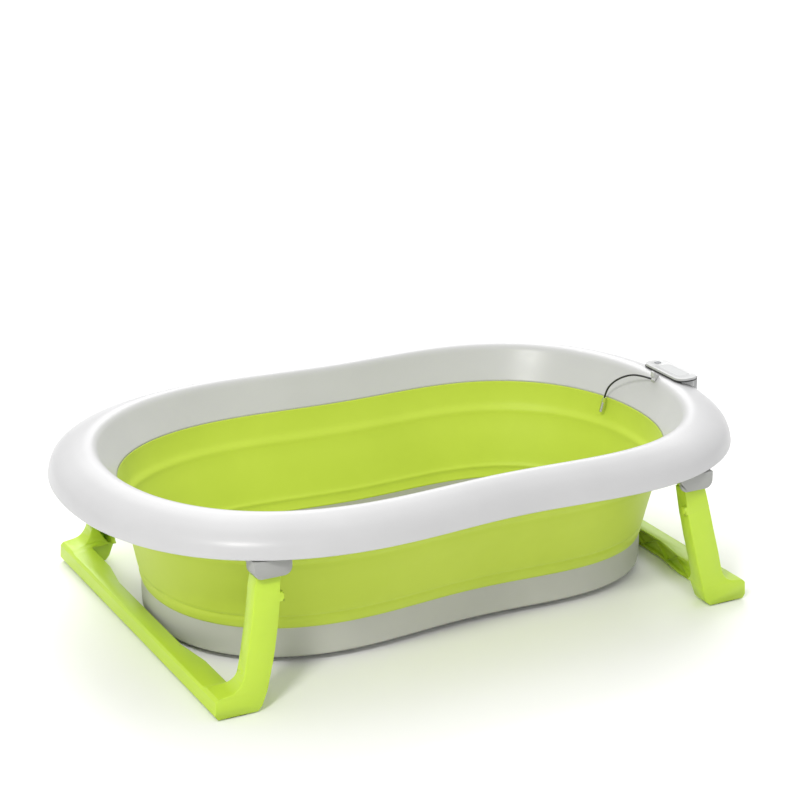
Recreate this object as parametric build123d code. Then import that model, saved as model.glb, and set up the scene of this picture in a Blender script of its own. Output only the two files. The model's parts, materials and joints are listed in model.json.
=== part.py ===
from build123d import *
import os
from math import acos, cos, exp, hypot, pi, radians, sin, tan

# Collapsible baby bathtub. Millimetres, +Z up, X along the tub, Y across it.
# The origin is on the floor under the middle of the tub. The thermometer is at the +X end.

# ---- driving dimensions -------------------------------------------------------------------
half_length = 410.0          # half the rim's length
half_width = 273.5           # half the rim's width before the waist is taken off
end_power = 3.5              # how square the plan outline is along X
side_power = 2.1             # and along Y
rim_waist = 0.072            # share of the width taken off at the waist, at the rim
pan_waist = 0.118            # and at the base pan
waist_x = 30.0               # where the waist is
waist_reach = 145.0          # how far along the tub it spreads
end_stretch = 0.12           # the rim is this much wider at its two ends

wall = 2.6                   # moulded wall
skirt_z = 170.0              # lower edge of the rim's skirt
crown_z = 206.3              # top of the rim
band_top_z = 164.0           # the grey inner wall ends here and the folding band begins
pan_top_z = 44.0             # the folding band ends here and the base pan begins
pan_bottom_z = 7.5           # underside of the base pan
floor_top_z = 11.5           # the floor a child sits on

pin_x = 266.0                # hinge pins of the leg frames
pin_z = 158.0
pin_r = 3.0
pin_clearance = 0.05
leg_out_top = 226.0          # outer face of a leg at its hinge pin
leg_out_floor = 240.5        # and at the floor, the legs splay outwards in a curve
leg_depth = 20.0             # thickness of a leg across the tub
foot_z = 1.5                 # underside of the moulded frame, above its rubber pads

drain_x = -200.0
thermo_y = -11.0             # middle of the thermometer on the +X end of the rim
cable_r = 1.2


# ---- helpers ------------------------------------------------------------------------------
def save(node, solids):
    """One STEP file per node; a group of identical pieces is one compound."""
    solids = solids if isinstance(solids, list) else [solids]
    flat = []
    for s in solids:
        flat += list(s.solids())
    shape = flat[0] if len(flat) == 1 else Compound(flat)
    export_step(shape, f"parts/{node}.step")
    print(f"{node:28s} {len(flat):2d} solids {sum(s.volume for s in flat) / 1000:9.2f} cm3")


def outline_point(turn, inset_x, inset_y, waist):
    """A point of the tub's plan outline: a superellipse with a soft waist."""
    c, s = cos(turn), sin(turn)
    x = (half_length - inset_x) * (1 if c > 0 else -1) * abs(c) ** (2 / end_power)
    y = (half_width - inset_y) * (1 if s > 0 else -1) * abs(s) ** (2 / side_power)
    return x, y * (1 - waist * exp(-(((x - waist_x) / waist_reach) ** 2)))


def loop_points(inset, z, waist=rim_waist, stretch=1.0, count=44):
    """Evenly spaced points round the outline, set in by inset."""
    dense = [outline_point(2 * pi * i / 1440, inset * stretch, inset, waist) for i in range(1441)]
    run = [0.0]
    for (x0, y0), (x1, y1) in zip(dense, dense[1:]):
        run.append(run[-1] + hypot(x1 - x0, y1 - y0))
    points, k = [], 0
    for n in range(count):
        want = run[-1] * n / count
        while run[k + 1] < want:
            k += 1
        t = (want - run[k]) / (run[k + 1] - run[k])
        x = dense[k][0] * (1 - t) + dense[k + 1][0] * t
        y = dense[k][1] * (1 - t) + dense[k + 1][1] * t
        points.append(Vector(x, y, z))
    return points


def loop(inset, z, waist=rim_waist, stretch=1.0):
    return Wire([Edge.make_spline(loop_points(inset, z, waist, stretch), periodic=True)])


def rim_loop(inset, z):
    """The rim widens towards its ends, so its inner loops are set in further there."""
    return loop(inset, z, rim_waist, 1.0 + end_stretch * min(1.0, max(0.0, inset / 50.0)))


def band_loop(inset, z):
    """The waist deepens from the rim down to the pan."""
    share = (band_top_z - z) / (band_top_z - pan_top_z)
    waist = rim_waist + (pan_waist - rim_waist) * share
    return loop(inset, z, waist, 1.0 + end_stretch * (1 - share))


def pan_loop(inset, z):
    return loop(inset, z, pan_waist, 1.0)


def even(points, count):
    """The same section curve, cut into evenly spaced points."""
    curve = Edge.make_spline([Vector(a, b, 0) for a, b in points])
    return [(p.X, p.Y) for p in (curve.position_at(i / count) for i in range(count + 1))]


def ring_between(face_side, back_side, make, smooth=True):
    """A closed ring of moulded wall between two skins given as (inset, height) points."""
    faces = list(Shell.make_loft([make(d, z) for d, z in face_side], not smooth).faces())
    faces += list(Shell.make_loft([make(d, z) for d, z in back_side], not smooth).faces())
    faces += list(Shell.make_loft([make(*face_side[0]), make(*back_side[0])], True).faces())
    faces += list(Shell.make_loft([make(*face_side[-1]), make(*back_side[-1])], True).faces())
    solid = Solid(Shell(faces))
    return solid if solid.volume > 0 else Solid(Shell([-f for f in faces]))


def rounded_wire(points, radii):
    """A closed wire of straight runs joined by arcs, one radius for each corner."""
    count = len(points)
    points = [Vector(*p) for p in points]
    entries, exits, middles = [], [], []
    for i, p in enumerate(points):
        r = radii[i] if isinstance(radii, list) else radii
        a = (points[i - 1] - p).normalized()
        b = (points[(i + 1) % count] - p).normalized()
        half = acos(max(-1.0, min(1.0, a.dot(b)))) / 2
        if r <= 0 or half > pi / 2 - 0.01:
            entries.append(p)
            exits.append(p)
            middles.append(None)
            continue
        reach = r / tan(half)
        bisector = (a + b).normalized()
        centre = p + bisector * (r / sin(half))
        entries.append(p + a * reach)
        exits.append(p + b * reach)
        middles.append(centre - bisector * r)
    edges = []
    for i in range(count):
        if middles[i] is not None:
            edges.append(Edge.make_three_point_arc(entries[i], middles[i], exits[i]))
        start, end = exits[i], entries[(i + 1) % count]
        if (end - start).length > 1e-6:
            edges.append(Edge.make_line(start, end))
    return Wire(edges)


def prism_y(points, radii, y0, y1):
    """A side profile of (x, z) points, pulled across the tub."""
    face = Face(rounded_wire([(x, y0, z) for x, z in points], radii))
    return extrude(face, amount=y1 - y0, dir=(0, 1, 0))


def prism_x(points, radii, x0, x1):
    face = Face(rounded_wire([(x0, y, z) for y, z in points], radii))
    return extrude(face, amount=x1 - x0, dir=(1, 0, 0))


def prism_z(points, radii, z0, z1):
    face = Face(rounded_wire([(x, y, z0) for x, y in points], radii))
    return extrude(face, amount=z1 - z0, dir=(0, 0, 1))


def block(x0, x1, y0, y1, z0, z1):
    return Pos((x0 + x1) / 2, (y0 + y1) / 2, (z0 + z1) / 2) * Box(x1 - x0, y1 - y0, z1 - z0)


def upright(x, y, z0, z1, r, r_top=None):
    if r_top is None:
        return Pos(x, y, (z0 + z1) / 2) * Cylinder(r, z1 - z0)
    return Pos(x, y, (z0 + z1) / 2) * Cone(r, r_top, z1 - z0)


def across(x, z, y0, y1, r):
    """A round bar along Y."""
    return Pos(x, (y0 + y1) / 2, z) * Rot(90, 0, 0) * Cylinder(r, y1 - y0)


def corners(solid, side_x, side_y):
    """Mirror a piece drawn at +X and -Y to the corner asked for."""
    if side_x < 0:
        solid = mirror(solid, Plane.YZ)
    if side_y > 0:
        solid = mirror(solid, Plane.XZ)
    return solid


# ---- rim ----------------------------------------------------------------------------------
# The section starts at the skirt, climbs a broad sloping shoulder to a crown near the inner
# edge, rolls over it and runs down as the grey inner wall.
shoulder = [(0, skirt_z), (1.3, 178), (4.5, 186), (11.5, 193.6), (22, 200), (32, 204.2), (40, crown_z),
            (45.5, 205.2), (49.2, 201.5), (52.0, 196), (57.5, 185), (69, band_top_z)]
screw_spots = [(292.0, 209.0), (240.5, 236.0)]
boss_z = 173.2


def build_rim():
    face_side = even(shoulder, 22)
    back_side = []
    for i, (d, z) in enumerate(face_side):
        before, after = face_side[max(0, i - 1)], face_side[min(len(face_side) - 1, i + 1)]
        dd, dz = after[0] - before[0], after[1] - before[1]
        size = hypot(dd, dz)
        back_side.append((d + wall * dz / size, z - wall * dd / size))
    back_side[0] = (wall, skirt_z)
    back_side[-1] = (face_side[-1][0] - wall, band_top_z)
    rim = ring_between(face_side, back_side, rim_loop)
    # screw bosses stand inside the hollow shoulder, trimmed to the middle of its wall
    rising = [p for p in face_side if p[0] < 34]
    under_skin = Solid.make_loft([rim_loop(d + 1.2, z - 0.6) for d, z in rising[::2]], False)
    for sx in (-1, 1):
        for sy in (-1, 1):
            for x, y in screw_spots:
                boss = upright(sx * x, sy * y, boss_z, 203, 4.0) & under_skin
                rim += boss
                rim -= upright(sx * x, sy * y, boss_z - 1, boss_z + 11, 1.55)
    return rim.solids().sort_by(SortBy.VOLUME)[-1]


# ---- folding band -------------------------------------------------------------------------
# Soft band with a shallow valley under the rim and a crisp fold line above the pan.
band_face = [(66.4, band_top_z), (67.2, 155), (69.2, 143), (71.4, 135), (74.2, 130.6), (75.6, 128),
             (76.2, 123), (78.2, 114), (83.2, 97), (88.4, 78), (92, 64.5), (93.4, 60.8), (95.4, 58.6),
             (94.6, 54.6), (95.8, 49.5), (98, pan_top_z)]


def build_band():
    inner = [(d + wall, z) for d, z in band_face]
    return ring_between(band_face, inner, band_loop, smooth=False)


# ---- base pan -----------------------------------------------------------------------------
# The pan's wall stands nearly upright and turns into the floor with a small radius.
pan_outer = [(105, pan_bottom_z), (101.2, 7.9), (99.2, 9.3), (98.3, 12.4), (97.9, 18), (97.7, 30),
             (98, pan_top_z)]
pan_inner = [(109, floor_top_z), (104.6, 12.6), (102, 15.4), (100.8, 20), (100.3, 30),
             (100.6, pan_top_z + 0.01)]
ridge_height = 1.4
drain_barrel_r = 17.0


def build_pan():
    body = Solid.make_loft([pan_loop(d, z) for d, z in pan_outer], True)
    hollow = Solid.make_loft([pan_loop(d, z) for d, z in pan_inner], True)
    pan = body - hollow
    # low grip ridges across the seat
    for x in range(-120, 141, 26):
        pan += block(x - 3, x + 3, -95, 95, floor_top_z - 0.5, floor_top_z + ridge_height)
    pan -= upright(drain_x, 0, 0, 20, drain_barrel_r)
    return pan.solids().sort_by(SortBy.VOLUME)[-1]


base_pad_spots = [(-235, -62), (-235, 62), (0, -105), (0, 105), (235, -62), (235, 62)]


def build_base_pads():
    pads = []
    for x, y in base_pad_spots:
        pad = upright(x, y, 0, pan_bottom_z, 14)
        pads.append(chamfer(pad.edges().group_by(Axis.Z)[0], 1.0))
    return pads


# ---- drain --------------------------------------------------------------------------------
def build_drain():
    """A flanged ring through the pan's floor, and the soft plug with a pull tab that closes it."""
    low, top = pan_bottom_z - 1.5, floor_top_z
    fitting = upright(drain_x, 0, low, top + 1.6, drain_barrel_r)
    fitting += upright(drain_x, 0, top, top + 2.4, 25.0)
    fitting = fillet(fitting.edges().filter_by(GeomType.CIRCLE).group_by(Axis.Z)[-1], 1.0)
    fitting -= upright(drain_x, 0, 0, 20, 14.0)
    plug = upright(drain_x, 0, low + 0.2, top + 2.6, 13.7) + upright(drain_x, 0, top + 2.6, top + 5.4, 19.0)
    plug = fillet(plug.edges().filter_by(GeomType.CIRCLE).group_by(Axis.Z)[-1], 1.0)
    corners_of_tab = [(drain_x - 8, top + 4.5), (drain_x + 8, top + 4.5), (drain_x + 8, top + 19),
                      (drain_x - 8, top + 19)]
    tab = prism_y(corners_of_tab, [0, 0, 7, 7], -1.6, 1.6)
    tab -= across(drain_x, top + 12.5, -3, 3, 3.6)
    return fitting, plug + tab


# ---- leg frames ---------------------------------------------------------------------------
# Side profile of a frame at +X: a blade that leans outwards and runs into a long low foot.
blade_outer = [(282.4, 147.6), (285.2, 136), (289.2, 115), (293, 95), (298.4, 70), (302.6, 50), (306.2, 38.5),
               (312.5, 30.6), (321, 27)]
toe = [(334.5, 25), (338, 21.5), (339, foot_z + 5), (335.5, foot_z)]
heel = [(289.5, foot_z), (284.8, foot_z + 5), (278.6, 22)]
blade_inner = [(270.3, 54.5), (263.4, 88), (258.6, 116), (255.2, 147.6)]
nub = [(266, 118), (252.8, 118), (252.8, 127.6), (266, 127.6)]
nub_in = 224.5               # the stop nub is flush with the leg's outer face and ends here
knuckle_out = 230.2          # outer end of the knuckle, almost as far out as the bracket's slot
# Seen from the end: half of the frame's outer line, as distance from the middle and height.
splay = [(leg_out_top, 160), (227.5, 150), (233.5, 108), (238.2, 67), (leg_out_floor, 24), (leg_out_floor, 0)]
bar_top_z = 24.0
bar_middle_x = 316.5         # inner edge of the crossbar in the middle, clear of the pan
bar_end_x = 309.0            # and near the legs
recess_depth = 4.5           # ribbed recess in the crossbar's inner face
leg_skin = 4.5


def frame_profile():
    outer = Edge.make_spline([Vector(x, 0, z) for x, z in blade_outer])
    chain = [Vector(x, 0, z) for x, z in blade_outer[-1:] + toe + heel + blade_inner + blade_outer[:1]]
    return Face(Wire([outer] + [Edge.make_line(a, b) for a, b in zip(chain, chain[1:])]))


def end_view(set_in, low_z, corner_r):
    """The space between the two legs' lines, set in from their outer faces, down to low_z."""
    half = [(y - set_in, z) for y, z in splay if z > low_z + corner_r] + [(leg_out_floor - set_in, low_z)]
    radii = [0] + [60] * (len(half) - 2) + [corner_r]
    points = [(-y, z) for y, z in half] + [(y, z) for y, z in half[::-1]]
    return prism_x(points, radii + radii[::-1], 230, 345)


def bar_side(set_in, reach, low_z, high_z):
    """The space beside the crossbar's S-shaped inner face, out to reach on both sides."""
    half = [(bar_middle_x, 95), (bar_end_x, 145), (bar_end_x, reach)]
    line = [(x + set_in, -y) for x, y in half[::-1]] + [(x + set_in, y) for x, y in half]
    return prism_z(line + [(230, reach), (230, -reach)], [0, 25, 25, 25, 25, 0, 0, 0], low_z, high_z)


def build_frame():
    profile = frame_profile()
    width = leg_out_floor + 4
    body = extrude(Pos(0, -width, 0) * profile, amount=2 * width, dir=(0, 1, 0))
    # seen from the end the frame is a U whose legs splay outwards, with soft inner corners
    frame = (body & end_view(0, 0, 0)) - end_view(leg_depth, bar_top_z, 20)
    # the crossbar is slimmer in the middle, with an S-shaped step at each end
    reach = leg_out_floor - leg_depth - 6
    frame -= bar_side(0, reach, -1, bar_top_z + 0.5)
    frame -= bar_side(0, reach - 8, bar_top_z - 1, 60)
    # its inner face has a shallow recess, stiffened with zigzag ribs
    recess = bar_side(recess_depth, 196, 5.0, 20.5)
    step = 28.0
    for n in range(-7, 7):
        y0, y1 = n * step, (n + 1) * step
        a, b = (5.0, 20.5) if n % 2 == 0 else (20.5, 5.0)
        recess -= prism_x([(y0 - 1, a), (y1 - 1, b), (y1 + 1, b), (y0 + 1, a)], 0, 300, 340)
    frame -= recess
    for side in (-1, 1):
        frame = finish_leg(frame, side)
    return frame.solids().sort_by(SortBy.VOLUME)[-1]


def finish_leg(frame, side):
    """Adds a knuckle that turns on the hinge pin and the stop nub, and hollows the leg's inner face."""
    y_out, y_in = side * leg_out_top, side * (leg_out_top - leg_depth)
    y0, y1 = min(y_out, y_in), max(y_out, y_in)
    frame += across(pin_x, pin_z, min(side * knuckle_out, y_in), max(side * knuckle_out, y_in), 8.5)
    frame += prism_y([(257.6, pin_z), (258.0, 147), (275.5, 147), (274.4, pin_z)], 0, y0, y1)
    near, far = side * nub_in, side * (leg_out_floor + 4)
    frame += prism_y(nub, [0, 1.2, 1.2, 0], min(near, far), max(near, far)) & end_view(0, 0, 0)
    side_view = [(286.5, 24), (301, 50), (296, 68), (290, 95), (285.6, 117), (281.6, 135), (280.6, 139),
                 (260, 139), (262.8, 117), (268, 86), (275.6, 54.5), (283.6, 24)]
    hollow = prism_y(side_view, 0, min(side * 190, side * 238), max(side * 190, side * 238))
    for z in (38, 62, 86, 110):
        hollow -= block(250, 320, -240, 240, z, z + 2.4)
    frame -= hollow & end_view(leg_skin, bar_top_z, 5)
    frame -= across(pin_x, pin_z, -240, 240, pin_r + pin_clearance)
    y0, y1 = min(side * pad_y[0], side * pad_y[1]), max(side * pad_y[0], side * pad_y[1])
    return frame - block(*pad_x, y0, y1, 0, pad_top_z)


pad_x = (302.0, 326.0)
pad_y = (226.0, 238.5)
pad_top_z = 3.5


def build_foot_pads():
    """Rubber inserts under the two feet of a frame, standing a little proud."""
    pads = []
    for side in (-1, 1):
        y0, y1 = min(side * pad_y[0], side * pad_y[1]), max(side * pad_y[0], side * pad_y[1])
        pad = block(*pad_x, y0, y1, 0, pad_top_z)
        pads.append(chamfer(pad.edges().group_by(Axis.Z)[0], 0.5))
    return pads


# ---- hinge brackets -----------------------------------------------------------------------
bracket_low_z = 148.2
bracket_front_y = 235.0      # flat outer face of a bracket
flange_z = 170.5             # underside of the flange that is screwed up under the rim
slot_out, slot_in = leg_out_top + 5.0, leg_out_top - leg_depth - 1.2
cheek_y = 196.0              # inner side of a bracket


def build_bracket():
    """Drawn at +X and -Y: a block with rounded lower corners under the rim, with a slot for the leg."""
    front = prism_y([(244.5, 168.4), (244.5, bracket_low_z), (288, bracket_low_z), (288, 168.4)],
                    [0, 9.5, 9.5, 0], -bracket_front_y, -214)
    rear = prism_y([(248, 168.4), (248, bracket_low_z), (280, bracket_low_z), (280, 168.4)], [0, 9.5, 9.5, 0],
                   -214, -cheek_y)
    core = prism_y([(247, 160), (286, 160), (286, boss_z), (247, boss_z)], 0, -262, -cheek_y)
    core = core & prism_y([(200, 160), (300, 160), (300, 180), (200, 180)], 0, -bracket_front_y + 1.5, 0)
    flange = prism_y([(237, flange_z), (298, flange_z), (298, boss_z), (237, boss_z)], 0, -262, -cheek_y)
    under = Solid.make_loft([rim_loop(3.4, 150), rim_loop(3.4, 175)], True)
    bracket = front + rear + ((core + flange) & under)
    bracket -= block(230, 278, -slot_out, -slot_in, 140, 167.2)
    bracket -= block(220, 266, -slot_out, -slot_in, 160, 180)
    bracket -= across(pin_x, pin_z, -234, -198, pin_r)
    for x, y in screw_spots:
        bracket -= upright(x, -y, 160, 180, 1.7)
    return bracket.solids().sort_by(SortBy.VOLUME)[-1]


def build_bracket_screws(side_x, side_y):
    screws = []
    for x, y in screw_spots:
        head = upright(x, -y, flange_z - 2.6, flange_z, 3.1)
        head -= upright(x, -y, flange_z - 3, flange_z - 1.4, 1.4)
        shank = upright(x, -y, flange_z, 182.0, 1.5)
        screws.append(corners(head + shank, side_x, side_y))
    return screws


def build_pin():
    pin = across(pin_x, pin_z, -234, -198, pin_r)
    return chamfer(pin.edges(), 0.4)


# ---- thermometer --------------------------------------------------------------------------
def pill(x0, x1, y0, y1, z0, z1, r):
    return prism_z([(x0, y0), (x1, y0), (x1, y1), (x0, y1)], r, z0, z1)


head_x0, head_x1 = 364.5, 395.5
head_y0, head_y1 = thermo_y - 41.0, thermo_y + 41.0
saddle_top_z = 207.4
gasket_top_z = 208.6
head_top_z = 211.6
skin = 1.4                   # top wall of the housing
cell_r = 6.25                # coin cell


def plate(set_in, z0, z1, r):
    """The head's outline, set in, as a flat plate."""
    return pill(head_x0 + set_in, head_x1 - set_in, head_y0 + set_in, head_y1 - set_in, z0, z1, r)


def build_thermometer():
    """A flat head on a saddle that follows the rim's shoulder; the coin cell sits in the saddle."""
    loops = [rim_loop(d - 0.3, z + (0.25 if z > skirt_z else 0)) for d, z in even(shoulder[:7], 9)]
    over_rim = Solid.make_loft(loops, False)
    saddle = pill(head_x0 + 3, head_x1 - 2, head_y0 + 4, head_y1 - 4, 192, saddle_top_z, 8)
    lug = pill(386, 406, head_y0 + 18, head_y1 - 14, 184, 204.5, 3)
    clip = (saddle + lug) - over_rim
    clip -= block(340, 372, -100, 100, 180, crown_z + 0.3)
    cell_x, cell_y = 386.0, thermo_y - 6
    clip -= upright(cell_x, cell_y, 205.0, 210, cell_r + 0.15)
    clip = clip.solids().sort_by(SortBy.VOLUME)[-1]
    battery = upright(cell_x, cell_y, 205.2, 207.2, cell_r)

    gasket = plate(-0.5, saddle_top_z, gasket_top_z, 12)
    gasket -= plate(4.5, saddle_top_z - 1, gasket_top_z + 1, 7)
    housing = plate(0, gasket_top_z, head_top_z, 11.5)
    housing = fillet(housing.edges().group_by(Axis.Z)[-1], 0.8)
    housing -= plate(2, gasket_top_z - 1, head_top_z - skin, 9.5)
    win_x0, win_x1 = head_x0 + 6.5, head_x1 - 6.0
    win_y0, win_y1 = head_y0 + 12, head_y0 + 58
    housing -= pill(win_x0, win_x1, win_y0, win_y1, head_top_z - 0.8, head_top_z + 1, 6)
    housing -= pill(win_x0 + 1.8, win_x1 - 1.8, win_y0 + 1.8, win_y1 - 1.8, head_top_z - 4, head_top_z + 1, 4)
    button_y = head_y1 - 12
    button_x = (head_x0 + head_x1) / 2
    housing -= upright(button_x, button_y, head_top_z - 4, head_top_z + 1, 4.25)

    low, top = head_top_z - 0.8, head_top_z - 0.1
    window = pill(win_x0 + 0.1, win_x1 - 0.1, win_y0 + 0.1, win_y1 - 0.1, low, top, 5.9)
    panel = pill(win_x0 + 1, win_x1 - 1, win_y0 + 1, win_y1 - 1, head_top_z - 2.3, head_top_z - skin, 4.5)
    board = plate(5, gasket_top_z - 0.9, gasket_top_z, 6.5)
    switch = upright(button_x, button_y, gasket_top_z, gasket_top_z + 0.4, 2.6)
    button = upright(button_x, button_y, head_top_z - 2.1, head_top_z + 0.5, 4.1)
    button += upright(button_x, button_y, head_top_z - 2.1, head_top_z - skin - 0.1, 4.9)
    button = fillet(button.edges().filter_by(GeomType.CIRCLE).group_by(Axis.Z)[-1], 0.4)
    return clip, gasket, housing, window, panel, board, switch, battery, button


# ---- probe cable --------------------------------------------------------------------------
# The cable leaves a small fin on the rim's inner edge, arches over it and hangs down inside
# the tub, with the probe at the water line and clear of the pan when the tub folds.
cable_points = [(351.0, -12.0, 203.4), (343.3, -4.4, 206.0), (336.0, 9.0, 205.2), (329.4, 24.4, 197.6),
                (324.8, 37.0, 187.0), (322.2, 44.6, 176.0), (321.4, 47.0, 166.0)]


def build_cable():
    radii = []
    for a, b, c in zip(cable_points, cable_points[1:], cable_points[2:]):
        va, vb = Vector(*b) - Vector(*a), Vector(*c) - Vector(*b)
        turn = radians(va.get_angle(vb))
        radii.append(0.45 * min(va.length, vb.length) / tan(turn / 2))
    print("cable radii", [round(r, 1) for r in radii])
    path = FilletPolyline(*[Vector(*p) for p in cable_points], radius=radii)
    start = path @ 0
    tube = sweep(Plane(origin=start, z_dir=path % 0) * Circle(cable_r), path=path)
    volume_check = tube.volume / (pi * cable_r ** 2 * path.length)
    print("cable length", round(path.length, 1), "volume check", round(volume_check, 4))
    end, along = path @ 1, path % 1
    # the probe hangs straight on from the cable's end
    plane = Plane(origin=end, z_dir=along)
    collar = plane * Pos(0, 0, 3.0) * Cone(1.9, 3.1, 6.0)
    body = plane * Pos(0, 0, 6.0 + 6.5) * Cylinder(3.1, 13.0)
    tip = plane * Pos(0, 0, 19.0) * Sphere(3.1)
    return tube, collar + body + tip


def build_fin(rim):
    """A small upright tab on the rim's inner edge; the cable comes out of its round boss."""
    start = Vector(*cable_points[0])
    along = (Vector(*cable_points[1]) - start).normalized()
    plane = Plane(origin=start, z_dir=along * -1)
    boss = plane * Pos(0, 0, 2.5) * Cylinder(2.3, 5.0)
    side = [(352.4, 199), (359.5, 199), (359.5, 208.4), (355.5, 209.4), (353.4, 212.6), (351.6, 212.6),
            (350.9, 206.8), (352.4, 205.8)]
    fin = prism_y(side, 0, -15.5, -9.5)
    return ((boss + fin) - rim).solids().sort_by(Axis.Z)[-1]


os.makedirs("parts", exist_ok=True)

rim = build_rim()
save("rim", rim)
save("folding_band", build_band())
save("base_pan", build_pan())
save("base_pads", build_base_pads())
fitting, plug = build_drain()
save("drain_fitting", fitting)
save("drain_plug", plug)

frame = build_frame()
pads = build_foot_pads()
bracket = build_bracket()
pin = build_pin()
side_names = {-1: "left", 1: "right"}
for sx in (-1, 1):
    save(f"leg_frame_{side_names[sx]}", corners(frame, sx, -1))
    save(f"foot_pads_{side_names[sx]}", [corners(p, sx, -1) for p in pads])
    for sy, face in ((-1, "front"), (1, "back")):
        save(f"hinge_bracket_{face}_{side_names[sx]}", corners(bracket, sx, sy))
save("hinge_pins", [corners(pin, sx, sy) for sx in (-1, 1) for sy in (-1, 1)])
save("bracket_screws", [s for sx in (-1, 1) for sy in (-1, 1) for s in build_bracket_screws(sx, sy)])

names = ("clip", "gasket", "housing", "window", "display", "board", "switch", "battery", "button")
for name, solid in zip(names, build_thermometer()):
    save(f"thermo_{name}", solid)
tube, probe = build_cable()
save("probe_cable", tube)
save("probe_tip", probe)
save("cable_fin", build_fin(rim))
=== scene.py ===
# %% [markdown]
# # A folding baby bathtub
# The tub has a wide light-grey rim, a soft lime-green band below it that folds, a grey pan at the bottom, two
# green U-shaped leg frames on hinge brackets, and a bath thermometer that sits on one end of the rim. The
# engineering model gives every size and every hinge. This lesson gives the tub its looks around that model.

# %% Load the engineering model
import bpy
import bmesh
import json
from math import cos, pi, radians, sin, sqrt
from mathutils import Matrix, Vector


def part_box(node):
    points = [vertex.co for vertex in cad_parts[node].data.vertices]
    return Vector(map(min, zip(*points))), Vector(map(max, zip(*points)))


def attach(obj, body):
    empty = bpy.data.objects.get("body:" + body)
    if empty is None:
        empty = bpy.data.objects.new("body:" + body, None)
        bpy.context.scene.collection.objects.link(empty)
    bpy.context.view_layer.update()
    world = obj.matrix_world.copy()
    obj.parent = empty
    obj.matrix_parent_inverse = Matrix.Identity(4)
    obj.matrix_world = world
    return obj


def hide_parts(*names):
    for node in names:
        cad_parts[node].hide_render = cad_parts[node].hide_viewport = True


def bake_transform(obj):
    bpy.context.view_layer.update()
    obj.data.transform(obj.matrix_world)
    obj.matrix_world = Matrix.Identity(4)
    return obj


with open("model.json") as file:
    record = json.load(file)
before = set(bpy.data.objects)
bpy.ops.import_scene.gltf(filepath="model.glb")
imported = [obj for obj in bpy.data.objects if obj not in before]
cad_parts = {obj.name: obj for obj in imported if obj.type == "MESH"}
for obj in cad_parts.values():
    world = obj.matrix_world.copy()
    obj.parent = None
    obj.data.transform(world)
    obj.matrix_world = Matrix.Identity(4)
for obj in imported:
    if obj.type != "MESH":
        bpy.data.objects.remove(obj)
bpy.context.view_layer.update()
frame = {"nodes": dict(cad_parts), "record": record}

# %% [markdown]
# ## The camera
# A long lens, 100 mm on a 36 mm sensor, keeps the tub's two ends nearly the same size, as in a catalogue
# picture. It could be aimed with a constraint, but a turn about Z and a tilt say the same thing in two
# numbers.

# %% Place the camera
camera_turn, camera_tilt = -27.69, -19.18
camera = bpy.data.objects.new("camera", bpy.data.cameras.new("camera"))
bpy.context.scene.collection.objects.link(camera)
camera.location = (-1.137, -2.177, 1.083)
camera.rotation_euler = (radians(90 + camera_tilt), 0, radians(camera_turn))
camera.data.lens = 100
camera.data.sensor_width = 36
bpy.context.scene.camera = camera
print("camera distance in m:", round(camera.location.length, 2))

# %% [markdown]
# ## Light and floor
# The tub stands on a white floor. A white world gives the flat fill of a white studio. The key lamp is only
# half a metre wide and stands high on the left, so the legs shade the band to their right. A faint lamp
# above the tub lights the crown of the rim, and a wide one far behind keeps the floor white up to the horizon.

# %% Build the studio
def soft_lamp(name, place, aim, size, power, colour=(1, 1, 1)):
    """A square lamp at place, turned to shine at aim."""
    data = bpy.data.lights.new(name, "AREA")
    data.size = size
    data.energy = power
    data.color = colour
    lamp = bpy.data.objects.new(name, data)
    lamp.location = place
    lamp.rotation_euler = (Vector(aim) - Vector(place)).to_track_quat("-Z", "Y").to_euler()
    bpy.context.scene.collection.objects.link(lamp)


world = bpy.data.worlds.new("white_studio")
world.use_nodes = True
world.node_tree.nodes["Background"].inputs["Color"].default_value = (1.0, 1.0, 1.0, 1)
world.node_tree.nodes["Background"].inputs["Strength"].default_value = 0.76
bpy.context.scene.world = world
bpy.context.scene.view_settings.view_transform = "Standard"
soft_lamp("key", (-1.7, -1.6, 2.3), (0, 0, 0.1), 0.5, 40, (1.0, 0.99, 0.97))
soft_lamp("top", (0.4, 0.8, 2.4), (0, 0.1, 0.15), 1.6, 10)
soft_lamp("backdrop", (2.2, 4.4, 3.4), (2.2, 4.4, 0), 5.0, 300)

floor_mesh = bpy.data.meshes.new("floor")
floor_mesh.from_pydata([(-9, -9, 0), (9, -9, 0), (9, 9, 0), (-9, 9, 0)], [], [(0, 1, 2, 3)])
floor = bpy.data.objects.new("floor", floor_mesh)
bpy.context.scene.collection.objects.link(floor)

# %% [markdown]
# ## Shared surface effects
# Moulded plastic is never one flat value. Three small effects come back in every finish, so each is a node
# group with named inputs: a fine spark-eroded grain, a slow drift of the colour, and faint handling marks
# that make the gloss uneven. A group could hold the whole shader, but then each finish would be tied to it.

# %% Helpers for node groups
def new_group(name, inputs, outputs):
    """An empty shader group; inputs are (name, kind, default) and outputs are (name, kind)."""
    group = bpy.data.node_groups.new(name, "ShaderNodeTree")
    for socket_name, kind, default in inputs:
        socket = group.interface.new_socket(socket_name, in_out="INPUT", socket_type="NodeSocket" + kind)
        socket.default_value = default
    for socket_name, kind in outputs:
        group.interface.new_socket(socket_name, in_out="OUTPUT", socket_type="NodeSocket" + kind)
    return group, group.nodes.new("NodeGroupInput"), group.nodes.new("NodeGroupOutput")


def node(tree, kind, links=None, **settings):
    """Adds a node, sets its properties or sockets by name, and links what links gives."""
    made = tree.nodes.new(kind)
    for key, value in settings.items():
        if key in made.bl_rna.properties:
            setattr(made, key, value)
        else:
            made.inputs[key.replace("_", " ")].default_value = value
    for key, source in (links or {}).items():
        tree.links.new(source, made.inputs[key])
    return made


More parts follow.
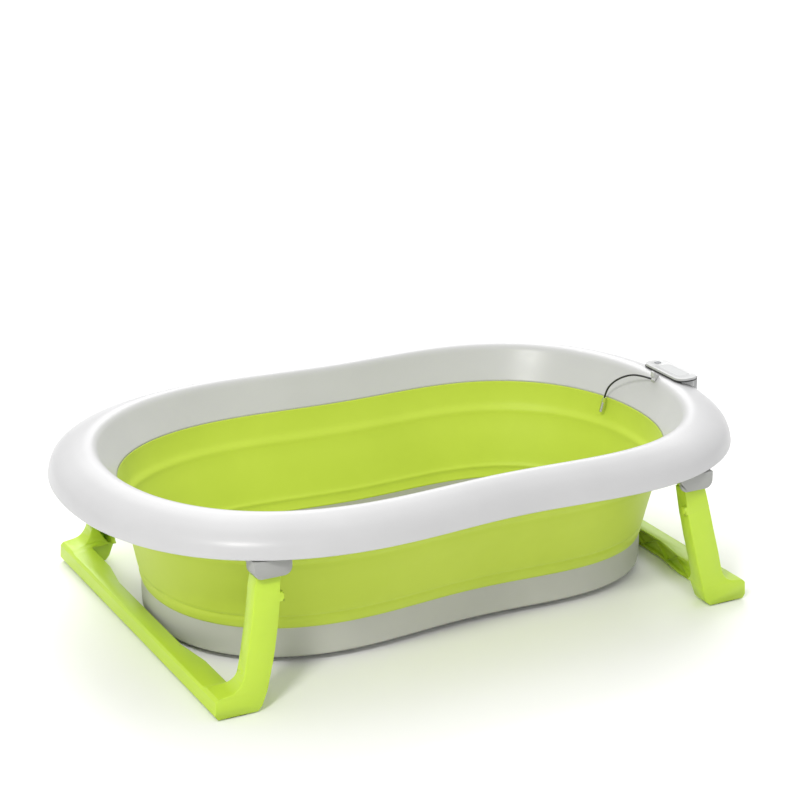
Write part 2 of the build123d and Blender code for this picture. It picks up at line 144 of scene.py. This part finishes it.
def math(tree, operation, a, b=None, c=None):
    """One Math node; each operand is a number or a socket."""
    made = tree.nodes.new("ShaderNodeMath")
    made.operation = operation
    for i, value in enumerate((a, b, c)):
        if value is None:
            continue
        if isinstance(value, (int, float)):
            made.inputs[i].default_value = value
        else:
            tree.links.new(value, made.inputs[i])
    return made.outputs[0]


# %% Fine moulded grain
grain, grain_in, grain_out = new_group(
    "moulded_grain",
    [("Vector", "Vector", (0, 0, 0)), ("Grains per metre", "Float", 1400.0), ("Unevenness", "Float", 0.5)],
    [("Height", "Float")])
grain_place, grain_scale = grain_in.outputs["Vector"], grain_in.outputs["Grains per metre"]
fine = node(grain, "ShaderNodeTexNoise", {"Vector": grain_place, "Scale": grain_scale}, Detail=3.0,
            Roughness=0.6)
slow_share = 0.11
slow_scale = math(grain, "MULTIPLY", grain_scale, slow_share)
slow = node(grain, "ShaderNodeTexNoise", {"Vector": grain_place, "Scale": slow_scale}, Detail=2.0)
uneven = math(grain, "MULTIPLY", slow.outputs["Fac"], grain_in.outputs["Unevenness"])
grain.links.new(math(grain, "ADD", fine.outputs["Fac"], uneven), grain_out.inputs["Height"])
print("group:", grain.name)

# %% Slow drift of the colour
drift, drift_in, drift_out = new_group(
    "colour_drift",
    [("Vector", "Vector", (0, 0, 0)), ("Colour", "Color", (1, 1, 1, 1)),
     ("Second colour", "Color", (0.9, 0.9, 0.9, 1)), ("Patches per metre", "Float", 9.0)],
    [("Colour", "Color")])
drift_place, drift_scale = drift_in.outputs["Vector"], drift_in.outputs["Patches per metre"]
patches = node(drift, "ShaderNodeTexNoise", {"Vector": drift_place, "Scale": drift_scale}, Detail=4.0,
               Roughness=0.55)
spread = node(drift, "ShaderNodeMapRange", {"Value": patches.outputs["Fac"]}, From_Min=0.35, From_Max=0.65)
blend_colour = node(drift, "ShaderNodeMix", data_type="RGBA")
drift.links.new(spread.outputs["Result"], blend_colour.inputs["Factor"])
drift.links.new(drift_in.outputs["Colour"], blend_colour.inputs[6])
drift.links.new(drift_in.outputs["Second colour"], blend_colour.inputs[7])
drift.links.new(blend_colour.outputs[2], drift_out.inputs["Colour"])
print("group:", drift.name)

# %% Faint handling marks
marks, marks_in, marks_out = new_group(
    "handling_marks",
    [("Vector", "Vector", (0, 0, 0)), ("Roughness", "Float", 0.4), ("Amount", "Float", 0.08),
     ("Marks per metre", "Float", 38.0)],
    [("Roughness", "Float")])
marks_place, marks_scale = marks_in.outputs["Vector"], marks_in.outputs["Marks per metre"]
streaks = node(marks, "ShaderNodeTexNoise", {"Vector": marks_place, "Scale": marks_scale},
               Detail=6.0, Roughness=0.7, Distortion=1.2)
centred = math(marks, "SUBTRACT", streaks.outputs["Fac"], 0.5)
swing = math(marks, "MULTIPLY", centred, marks_in.outputs["Amount"])
uneven_gloss = math(marks, "ADD", marks_in.outputs["Roughness"], math(marks, "MULTIPLY", swing, 2.0))
marks.links.new(uneven_gloss, marks_out.inputs["Roughness"])
print("group:", marks.name)

# %% [markdown]
# ## The finishes
# Every finish is a Principled shader fed by those groups. What differs is the colour, the gloss, how much
# light the plastic lets in, and the size of its grain. The values that are the same all over go straight on
# the shader.

# %% A maker for moulded finishes
finishes = {}


def moulded(name, colour, second, roughness, grain_depth=0.00002, grains=1400.0, marks_amount=0.06,
            patches_per_metre=9.0, **shader):
    """A moulded plastic or rubber finish; shader names Principled sockets that are the same all over."""
    material = bpy.data.materials.new(name + "_finish")
    finishes[name] = material
    material.use_nodes = True
    tree = material.node_tree
    principled = tree.nodes["Principled BSDF"]
    place = node(tree, "ShaderNodeTexCoord").outputs["Object"]
    tint = node(tree, "ShaderNodeGroup", node_tree=drift)
    tint.inputs["Colour"].default_value = (*colour, 1)
    tint.inputs["Second colour"].default_value = (*second, 1)
    tint.inputs["Patches per metre"].default_value = patches_per_metre
    gloss = node(tree, "ShaderNodeGroup", node_tree=marks)
    gloss.inputs["Roughness"].default_value = roughness
    gloss.inputs["Amount"].default_value = marks_amount
    relief = node(tree, "ShaderNodeGroup", node_tree=grain)
    relief.inputs["Grains per metre"].default_value = grains
    for made in (tint, gloss, relief):
        tree.links.new(place, made.inputs["Vector"])
    bump = node(tree, "ShaderNodeBump", {"Height": relief.outputs["Height"]}, Strength=1.0,
                Distance=grain_depth)
    tree.links.new(tint.outputs["Colour"], principled.inputs["Base Color"])
    tree.links.new(gloss.outputs["Roughness"], principled.inputs["Roughness"])
    tree.links.new(bump.outputs["Normal"], principled.inputs["Normal"])
    for key, value in shader.items():
        principled.inputs[key.replace("_", " ")].default_value = value
    return material


# %% Mix the finishes
rim_plastic = moulded("rim_plastic", (0.545, 0.545, 0.55), (0.52, 0.52, 0.525), 0.34, 0.000012, 1500,
                      Specular_IOR_Level=0.45)
band_rubber = moulded("band_rubber", (0.56, 0.70, 0.066), (0.53, 0.67, 0.058), 0.52, 0.00002, 900,
                      Specular_IOR_Level=0.35, Sheen_Weight=0.12, Sheen_Roughness=0.5)
pan_plastic = moulded("pan_plastic", (0.50, 0.505, 0.455), (0.47, 0.475, 0.43), 0.42, 0.00001, 1300)
moulded("leg_plastic", (0.51, 0.70, 0.050), (0.48, 0.67, 0.043), 0.38, 0.00001, 1300,
        Subsurface_Weight=0.22, Subsurface_Scale=0.006, Subsurface_Radius=(0.8, 1.0, 0.15))
moulded("bracket_plastic", (0.36, 0.365, 0.35), (0.34, 0.345, 0.33), 0.45, 0.000015, 1500)
moulded("thermo_plastic", (0.50, 0.505, 0.505), (0.475, 0.48, 0.48), 0.36, 0.000012, 2200)
moulded("pad_rubber", (0.016, 0.016, 0.016), (0.022, 0.022, 0.022), 0.72, 0.00004, 2400)
moulded("gasket_rubber", (0.012, 0.012, 0.013), (0.018, 0.018, 0.019), 0.5, 0.00001, 3000)
cable_rubber = moulded("cable_rubber", (0.008, 0.008, 0.009), (0.014, 0.014, 0.015), 0.42, 0.00001, 4000)
moulded("plug_rubber", (0.38, 0.58, 0.04), (0.34, 0.54, 0.035), 0.55, 0.00002, 1500)
moulded("button_rubber", (0.22, 0.23, 0.24), (0.2, 0.21, 0.22), 0.5, 0.00001, 3000)
moulded("steel", (0.60, 0.60, 0.61), (0.55, 0.55, 0.56), 0.32, 0.000006, 3000, 0.1, 30, Metallic=1.0)
moulded("probe_steel", (0.74, 0.74, 0.75), (0.68, 0.68, 0.69), 0.16, 0.000003, 3500, 0.1, 60,
        Metallic=1.0)
moulded("board", (0.02, 0.14, 0.05), (0.015, 0.11, 0.04), 0.3, 0.00001, 5000)
moulded("display_panel", (0.56, 0.58, 0.55), (0.52, 0.54, 0.51), 0.3, 0.000002, 4000)
moulded("display_window", (0.58, 0.59, 0.59), (0.56, 0.57, 0.57), 0.12, 0.000001, 3000, 0.03,
        Coat_Weight=0.6, Coat_Roughness=0.05)
floor_paint = moulded("studio_floor", (0.94, 0.94, 0.94), (0.935, 0.935, 0.935), 0.6, 0.00001, 300, 0.03,
                      1.0, Specular_IOR_Level=0.25)
floor.data.materials.append(floor_paint)
print("finishes:", len(finishes))

# %% [markdown]
# ## Walls that follow one rule
# Seen from above, the rim, the band and the pan share one outline: a squarish oval with a soft waist, which
# deepens towards the floor. Such a wall could be drawn by hand at every height. Here a Geometry Nodes tree
# bends a flat grid round the outline instead. Its input is one section line, whose points hold an inset from
# the outline in X, a share of the full size in Y, and a height in Z, so all three walls come from one tree.

# %% Build the wrapping tree
def geometry_tree(name, inputs):
    """An empty Geometry Nodes tree with named inputs, each with its default."""
    tree = bpy.data.node_groups.new(name, "GeometryNodeTree")
    tree.interface.new_socket("Geometry", in_out="INPUT", socket_type="NodeSocketGeometry")
    for socket_name, kind, default in inputs:
        socket = tree.interface.new_socket(socket_name, in_out="INPUT", socket_type="NodeSocket" + kind)
        if default is not None:
            socket.default_value = default
    tree.interface.new_socket("Geometry", in_out="OUTPUT", socket_type="NodeSocketGeometry")
    return tree, tree.nodes.new("NodeGroupInput").outputs, tree.nodes.new("NodeGroupOutput").inputs


tub_outline = [("Half length", "Float", 0.410), ("Half width", "Float", 0.2735), ("End power", "Float", 3.5),
               ("Side power", "Float", 2.1), ("Rim waist", "Float", 0.072), ("Pan waist", "Float", 0.118),
               ("Waist x", "Float", 0.030), ("Waist reach", "Float", 0.145), ("End stretch", "Float", 0.12),
               ("Band top", "Float", 0.164), ("Band foot", "Float", 0.044)]
wrap, given, result = geometry_tree("wrap_round_the_outline",
                                    tub_outline + [("Around", "Int", 360), ("Finish", "Material", None)])

section_count = node(wrap, "GeometryNodeAttributeDomainSize", {"Geometry": given["Geometry"]})
section_size = section_count.outputs["Point Count"]
columns = math(wrap, "ADD", given["Around"], 1)
grid = node(wrap, "GeometryNodeMeshGrid", {"Vertices X": columns, "Vertices Y": section_size})
index = node(wrap, "GeometryNodeInputIndex").outputs[0]
step_along = math(wrap, "MODULO", index, section_size)
step_round = math(wrap, "FLOOR", math(wrap, "DIVIDE", math(wrap, "ADD", index, 0.5), section_size))
place = node(wrap, "GeometryNodeInputPosition").outputs[0]
sample = node(wrap, "GeometryNodeSampleIndex", data_type="FLOAT_VECTOR", domain="POINT")
wrap.links.new(given["Geometry"], sample.inputs["Geometry"])
wrap.links.new(place, sample.inputs["Value"])
wrap.links.new(step_along, sample.inputs["Index"])
section_point = node(wrap, "ShaderNodeSeparateXYZ", {"Vector": sample.outputs["Value"]}).outputs
inset, share, height = section_point["X"], section_point["Y"], section_point["Z"]

rise = math(wrap, "DIVIDE", math(wrap, "SUBTRACT", height, given["Band foot"]),
            math(wrap, "SUBTRACT", given["Band top"], given["Band foot"]))
up = node(wrap, "ShaderNodeClamp", {"Value": rise}).outputs[0]
more_waist = math(wrap, "SUBTRACT", given["Rim waist"], given["Pan waist"])
waist = math(wrap, "MULTIPLY_ADD", up, more_waist, given["Pan waist"])
full_lean = 0.050
lean_in = node(wrap, "ShaderNodeClamp", {"Value": math(wrap, "DIVIDE", inset, full_lean)}).outputs[0]
stretch = math(wrap, "MULTIPLY_ADD", math(wrap, "MULTIPLY", lean_in, up), given["End stretch"], 1.0)

turn = math(wrap, "MULTIPLY", math(wrap, "DIVIDE", step_round, given["Around"]), 2 * pi)
reach = math(wrap, "COSINE", turn)
side = math(wrap, "SIGN", math(wrap, "SINE", turn))
length_here = math(wrap, "SUBTRACT", given["Half length"], math(wrap, "MULTIPLY", inset, stretch))
along = math(wrap, "MULTIPLY", reach, length_here)
fall = math(wrap, "POWER", math(wrap, "ABSOLUTE", reach), given["End power"])
left_over = math(wrap, "MAXIMUM", math(wrap, "SUBTRACT", 1.0, fall), 0.0)
width_share = math(wrap, "POWER", left_over, math(wrap, "DIVIDE", 1.0, given["Side power"]))
from_waist = math(wrap, "DIVIDE", math(wrap, "SUBTRACT", along, given["Waist x"]), given["Waist reach"])
bell = math(wrap, "EXPONENT", math(wrap, "MULTIPLY", math(wrap, "MULTIPLY", from_waist, from_waist), -1.0))
pinch = math(wrap, "SUBTRACT", 1.0, math(wrap, "MULTIPLY", waist, bell))
half_here = math(wrap, "MULTIPLY", math(wrap, "SUBTRACT", given["Half width"], inset), width_share)
across = math(wrap, "MULTIPLY", math(wrap, "MULTIPLY", half_here, pinch), side)

bent_place = node(wrap, "ShaderNodeCombineXYZ", {
    "X": math(wrap, "MULTIPLY", along, share), "Y": math(wrap, "MULTIPLY", across, share), "Z": height})
bent = node(wrap, "GeometryNodeSetPosition",
            {"Geometry": grid.outputs["Mesh"], "Position": bent_place.outputs[0]})
closed = node(wrap, "GeometryNodeMergeByDistance", {"Geometry": bent.outputs[0]}, Distance=0.000004)
smooth = node(wrap, "GeometryNodeSetShadeSmooth", {"Geometry": closed.outputs[0]})
real = node(wrap, "GeometryNodeRealizeInstances", {"Geometry": smooth.outputs[0]})
finished = node(wrap, "GeometryNodeSetMaterial", {"Geometry": real.outputs[0], "Material": given["Finish"]})
wrap.links.new(finished.outputs[0], result["Geometry"])
print("tree:", wrap.name, "with", len(wrap.nodes), "nodes")

# %% Run a tree and keep its mesh
def settle(obj):
    """Points every face outwards, and closes what lies on the same spot."""
    bm = bmesh.new()
    bm.from_mesh(obj.data)
    bmesh.ops.remove_doubles(bm, verts=bm.verts, dist=2e-6)
    bmesh.ops.recalc_face_normals(bm, faces=bm.faces)
    bm.to_mesh(obj.data)
    bm.free()


def grown(name, start, tree, **sizes):
    """Runs tree on the mesh start and returns its result as a plain mesh object."""
    source = bpy.data.objects.new(name, start)
    bpy.context.scene.collection.objects.link(source)
    modifier = source.modifiers.new("grow", "NODES")
    modifier.node_group = tree
    for item in tree.interface.items_tree:
        if item.item_type == "SOCKET" and item.in_out == "INPUT" and item.name in sizes:
            modifier[item.identifier] = sizes[item.name]
    depsgraph = bpy.context.evaluated_depsgraph_get()
    mesh = bpy.data.meshes.new_from_object(source.evaluated_get(depsgraph), depsgraph=depsgraph)
    source.modifiers.remove(modifier)
    source.data = mesh
    mesh.name = name
    settle(source)
    return source


def section_line(name, points):
    """A chain of vertices from (inset, height) points in mm, with an optional share of the full size."""
    mesh = bpy.data.meshes.new(name)
    rows = [(p[0] / 1000, p[2] if len(p) > 2 else 1.0, p[1] / 1000) for p in points]
    mesh.from_pydata(rows, [(i, i + 1) for i in range(len(rows) - 1)], [])
    return mesh


# %% [markdown]
# ## Sections
# A section is a few points that a smooth curve goes through, cut into even steps. The back of a wall is the
# same line moved in by the wall's thickness. The rim's free edge is closed with half a circle, because a
# moulded edge is always a little round.

# %% Smooth lines and walls
def smooth_line(points, step):
    """Points about step apart on a smooth curve through the given ones (a Catmull-Rom curve)."""
    ends = [tuple(2 * a - b for a, b in zip(points[0], points[1]))]
    tail = [tuple(2 * a - b for a, b in zip(points[-1], points[-2]))]
    chain = ends + list(points) + tail
    dense, parts = [], 24
    for p0, p1, p2, p3 in zip(chain, chain[1:], chain[2:], chain[3:]):
        knots = [0.0]
        for a, b in ((p0, p1), (p1, p2), (p2, p3)):
            knots.append(knots[-1] + sqrt(sqrt(sum((u - v) ** 2 for u, v in zip(a, b)))))
        for n in range(parts):
            t = knots[1] + (knots[2] - knots[1]) * n / parts
            near = (p0, p1, p2, p3)
            dense.append(tuple(curve_value(knots, [q[k] for q in near], t) for k in range(len(p1))))
    dense.append(tuple(points[-1]))
    run = [0.0]
    for a, b in zip(dense, dense[1:]):
        run.append(run[-1] + sqrt(sum((u - v) ** 2 for u, v in zip(a, b))))
    count = max(2, round(run[-1] / step))
    line, k = [], 0
    for n in range(count):
        want = run[-1] * n / count
        while run[k + 1] < want:
            k += 1
        t = (want - run[k]) / (run[k + 1] - run[k])
        line.append(tuple(a + (b - a) * t for a, b in zip(dense[k], dense[k + 1])))
    return line + [dense[-1]]


def curve_value(knots, values, t):
    """One coordinate of a centripetal Catmull-Rom span at t."""
    a = [mix(values[i], values[i + 1], t, knots[i], knots[i + 1]) for i in range(3)]
    b = [mix(a[i], a[i + 1], t, knots[i], knots[i + 2]) for i in range(2)]
    return mix(b[0], b[1], t, knots[1], knots[2])


def mix(low, high, t, start, end):
    return low + (high - low) * (t - start) / (end - start)


def backed(face, thickness):
    """The line that runs behind face, thickness away on its right-hand side."""
    back = []
    for i, (d, z) in enumerate(face):
        before, after = face[max(0, i - 1)], face[min(len(face) - 1, i + 1)]
        run_d, run_z = after[0] - before[0], after[1] - before[1]
        size = sqrt(run_d ** 2 + run_z ** 2)
        back.append((d + thickness * run_z / size, z - thickness * run_d / size))
    return back


def round_edge(face_end, back_end, away, steps=5):
    """Half a circle from the face to the back of a wall, bulging towards away."""
    centre = [(a + b) / 2 for a, b in zip(face_end, back_end)]
    arm = [a - c for a, c in zip(face_end, centre)]
    size = sqrt(arm[0] ** 2 + arm[1] ** 2)
    turns = [pi * n / steps for n in range(1, steps)]
    return [(centre[0] + arm[0] * cos(turn) + away[0] * size * sin(turn),
             centre[1] + arm[1] * cos(turn) + away[1] * size * sin(turn)) for turn in turns]


# %% [markdown]
# ## The rim
# The rim is one polypropylene moulding: a skirt, a broad shoulder that people grip, a crown near the inner
# edge, and the grey wall that runs down into the tub. Its section is wrapped round the outline.

# %% Make the rim
wall = 2.6
skirt_z, crown_z, band_top_z = 170.0, 206.3, 164.0
inner_foot = 69
shoulder = [(0, skirt_z + wall / 2), (1.3, 178), (4.5, 186), (11.5, 193.6), (22, 200), (32, 204.2),
            (40, crown_z), (45.5, 205.2), (49.2, 201.5), (52.0, 196), (57.5, 185), (inner_foot, band_top_z)]
rim_face = smooth_line(shoulder, 2.4)
rim_back = backed(rim_face, wall)
rim_back[0] = (wall, skirt_z + wall / 2)
rim_back[-1] = (inner_foot - wall, band_top_z)
skirt_edge = round_edge(rim_back[0], rim_face[0], (0, -1))
rim_section = rim_face + rim_back[::-1] + skirt_edge + [rim_face[0]]
rim = grown("rim_moulding", section_line("rim_section", rim_section), wrap, Around=360, Finish=rim_plastic)
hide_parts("rim")
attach(rim, "tub")
print("rim faces:", len(rim.data.polygons))

# %% [markdown]
# ## The folding band
# The band is soft rubber moulded onto the rim and the pan.

# %% Make the band
band_face = [(66.4, band_top_z), (67.2, 155), (69.2, 143), (71.4, 135), (74.2, 130.6), (75.6, 128),
             (76.2, 123), (78.2, 114), (83.2, 97), (88.4, 78), (92, 64.5), (93.4, 60.8), (95.4, 58.6),
             (95, 56.8), (94.6, 54.6), (95.8, 49.5), (98, 44)]
face = smooth_line(band_face, 1.9)
back = [(d + wall, z) for d, z in face]
band_section = section_line("band_section", face + back[::-1] + [face[0]])
band = grown("soft_band", band_section, wrap, Around=360, Finish=band_rubber)
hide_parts("folding_band")
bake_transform(band)
print("band faces:", len(band.data.polygons))

# %% [markdown]
# ## The base pan
# The pan is a shallow grey tray. Its wall and floor are one section too: near the middle the section stops
# moving in by an inset and shrinks by a share of its size instead, so that the rings meet in one point.

# %% Make the pan
pan_bottom_z, floor_top_z, pan_top_z = 7.5, 11.5, 44.0
pan_outer = smooth_line([(98, pan_top_z), (97.7, 30), (97.9, 18), (98.3, 12.4), (99.2, 9.3), (101.2, 7.9),
                         (105, pan_bottom_z)], 1.5)
pan_inner = smooth_line([(109, floor_top_z), (104.6, 12.6), (102, 15.4), (100.8, 20), (100.3, 30),
                         (100.6, pan_top_z)], 1.8)
rings = 26
shares = [1 - n / rings for n in range(1, rings + 1)]
under = [(105, pan_bottom_z, s) for s in shares]
over = [(109, floor_top_z, s) for s in shares[::-1]]
pan_section = [(d, z, 1.0) for d, z in pan_outer] + under + over
pan_section += [(d, z, 1.0) for d, z in pan_inner] + [(98, pan_top_z, 1.0)]
pan = grown("pan_moulding", section_line("pan_section", pan_section), wrap, Around=320, Finish=pan_plastic)
print("pan faces:", len(pan.data.polygons))

# %% Open the drain hole in the pan
drain_low, drain_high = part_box("drain_fitting")
drain_x = (drain_low.x + drain_high.x) / 2
cutter_mesh = bpy.data.meshes.new("cutter")
bm = bmesh.new()
hole_radius = 0.017
bmesh.ops.create_cone(bm, cap_ends=True, segments=64, radius1=hole_radius, radius2=hole_radius, depth=0.02)
bmesh.ops.translate(bm, verts=bm.verts, vec=(drain_x, 0, 0.010))
bm.to_mesh(cutter_mesh)
bm.free()
cutter = bpy.data.objects.new("cutter", cutter_mesh)
bpy.context.scene.collection.objects.link(cutter)
cut = pan.modifiers.new("drain", "BOOLEAN")
cut.object = cutter
cut.solver = "EXACT"
depsgraph = bpy.context.evaluated_depsgraph_get()
pan_mesh = bpy.data.meshes.new_from_object(pan.evaluated_get(depsgraph), depsgraph=depsgraph)
pan.modifiers.remove(cut)
pan.data = pan_mesh
bpy.data.objects.remove(cutter)
pan.data.materials.clear()
pan.data.materials.append(pan_plastic)
pan.data.set_sharp_from_angle(angle=radians(40))
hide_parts("base_pan")
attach(pan, "pan")
print("pan faces with its hole:", len(pan.data.polygons))

# %% [markdown]
# ## Grip ridges
# Low ridges across the seat stop a wet child from sliding. They are one bar repeated, so a small Geometry
# Nodes tree places the bar along a line; the bar itself has rounded ends and a domed top.

# %% Repeat a bar along X
row_sizes = [("Count", "Int", 11), ("First", "Float", -0.12), ("Pitch", "Float", 0.026),
             ("Finish", "Material", None)]
row, given, result = geometry_tree("row_along_x", row_sizes)
line = node(row, "GeometryNodeMeshLine", {"Count": given["Count"]})
first_place = node(row, "ShaderNodeCombineXYZ", {"X": given["First"]}).outputs[0]
spacing = node(row, "ShaderNodeCombineXYZ", {"X": given["Pitch"]}).outputs[0]
row.links.new(first_place, line.inputs["Start Location"])
row.links.new(spacing, line.inputs["Offset"])
copies = node(row, "GeometryNodeInstanceOnPoints", {"Points": line.outputs[0], "Instance": given["Geometry"]})
real = node(row, "GeometryNodeRealizeInstances", {"Geometry": copies.outputs[0]})
finished = node(row, "GeometryNodeSetMaterial", {"Geometry": real.outputs[0], "Material": given["Finish"]})
row.links.new(finished.outputs[0], result["Geometry"])


def domed_bar(length, width, height, base_z):
    """A bar along Y with round ends, made of rings that step in as they rise."""
    around, levels, top_width = 24, 4, 0.0002
    straight = length / 2 - width / 2
    verts = []
    for level in range(levels + 1):
        tilt = pi / 2 * level / levels
        half, z = width / 2 * cos(tilt) + top_width / 2, base_z + height * sin(tilt)
        for n in range(around):
            turn = 2 * pi * n / around
            verts.append((half * cos(turn), half * sin(turn) + straight * (1 if sin(turn) >= 0 else -1), z))
    faces = []
    for first in range(0, levels * around, around):
        for n in range(around):
            after = (n + 1) % around
            faces.append((first + n, first + after, first + around + after, first + around + n))
    top = levels * around
    faces += [tuple(range(around - 1, -1, -1)), tuple(range(top, top + around))]
    mesh = bpy.data.meshes.new("bar")
    mesh.from_pydata(verts, [], faces)
    return mesh


sunk = 0.0002
bar = domed_bar(0.190, 0.006, 0.0014, floor_top_z / 1000 - sunk)
ridges = grown("grip_ridges", bar, row, Count=11, First=-0.12, Pitch=0.026, Finish=pan_plastic)
ridges.data.shade_smooth()
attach(ridges, "pan")
print("ridges faces:", len(ridges.data.polygons))

# %% [markdown]
# ## Hard parts from the engineering model
# Legs, brackets, pins and the thermometer already have their true shape. What they lack is the small radius
# that every moulded edge has. Each is copied, its triangles are merged back into flat faces, and a Bevel
# modifier rounds the sharp edges. Flat faces with many corners are cut into triangles again first, because a
# bevel shades them unevenly. The copy stands for the original.

# %% Round the edges of a part
def softened(part, width_mm, finish, body):
    """A copy of an engineering part with rounded edges, in its finish and on its body."""
    bm = bmesh.new()
    bm.from_mesh(frame["nodes"][part].data)
    bmesh.ops.remove_doubles(bm, verts=bm.verts, dist=2e-6)
    bmesh.ops.dissolve_limit(bm, angle_limit=radians(0.6), verts=bm.verts, edges=bm.edges)
    bmesh.ops.triangulate(bm, faces=[face for face in bm.faces if len(face.verts) > 4])
    mesh = bpy.data.meshes.new(part + "_finished")
    bm.to_mesh(mesh)
    bm.free()
    piece = bpy.data.objects.new(part + "_finished", mesh)
    bpy.context.scene.collection.objects.link(piece)
    bevel = piece.modifiers.new("soft_edges", "BEVEL")
    bevel.width = width_mm / 1000
    bevel.segments = 2
    bevel.limit_method = "ANGLE"
    bevel.angle_limit = radians(28)
    bevel.use_clamp_overlap = False
    bevel.harden_normals = True
    mesh.materials.clear()
    mesh.materials.append(finishes[finish])
    mesh.shade_smooth()
    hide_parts(part)
    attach(piece, body)
    return piece


soft_parts = [("leg_frame_left", 0.7, "leg_plastic", "leg_left"),
              ("leg_frame_right", 0.7, "leg_plastic", "leg_right")]
soft_parts += [(f"hinge_bracket_{corner}", 0.6, "bracket_plastic", "tub")
               for corner in ("front_left", "front_right", "back_left", "back_right")]
soft_parts += [("thermo_clip", 0.5, "thermo_plastic", "tub"), ("thermo_gasket", 0.3, "gasket_rubber", "tub"),
               ("thermo_housing", 0.3, "thermo_plastic", "tub"), ("cable_fin", 0.2, "rim_plastic", "tub")]
for part, width_mm, finish, body in soft_parts:
    piece = softened(part, width_mm, finish, body)
    print(piece.name, len(piece.data.polygons), "faces before the bevel")

# %% [markdown]
# ## Small parts that need only a finish
# Pads, pins, screws, the drain and the inner parts of the thermometer are turned or stamped shapes that the
# engineering model already rounds, so they only get a finish.

# %% Finish the small parts
for entry in frame["record"]["subparts"]:
    obj = frame["nodes"][entry["node"]]
    obj.data.materials.clear()
    obj.data.materials.append(finishes[entry["material_slot"]])

# %% [markdown]
# ## The probe cable
# A thin black cable leaves a small tab on the rim, arches over the inner edge and hangs into the tub with the
# probe on its end. It is 85 mm of 2.4 mm cable, so it is one smooth curve with a round section.

# %% Lay the cable
route = [(351.0, -12.0, 203.4), (343.3, -4.4, 206.0), (336.0, 9.0, 205.2), (329.4, 24.4, 197.6),
         (324.8, 37.0, 187.0), (322.2, 44.6, 176.0), (321.4, 47.0, 166.0)]
cable_curve = bpy.data.curves.new("cable", "CURVE")
cable_curve.dimensions = "3D"
spline = cable_curve.splines.new("NURBS")
spline.points.add(len(route) - 1)
for point, (x, y, z) in zip(spline.points, route):
    point.co = (x / 1000, y / 1000, z / 1000, 1)
spline.order_u = 3
spline.use_endpoint_u = True
cable_curve.bevel_depth = 0.0012
cable_curve.bevel_resolution = 6
cable_curve.resolution_u = 16
cable_curve.use_fill_caps = True
cable_curve.materials.append(cable_rubber)
cable = bpy.data.objects.new("probe_cable_line", cable_curve)
bpy.context.scene.collection.objects.link(cable)
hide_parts("probe_cable")
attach(cable, "tub")
print("cable points:", len(route))
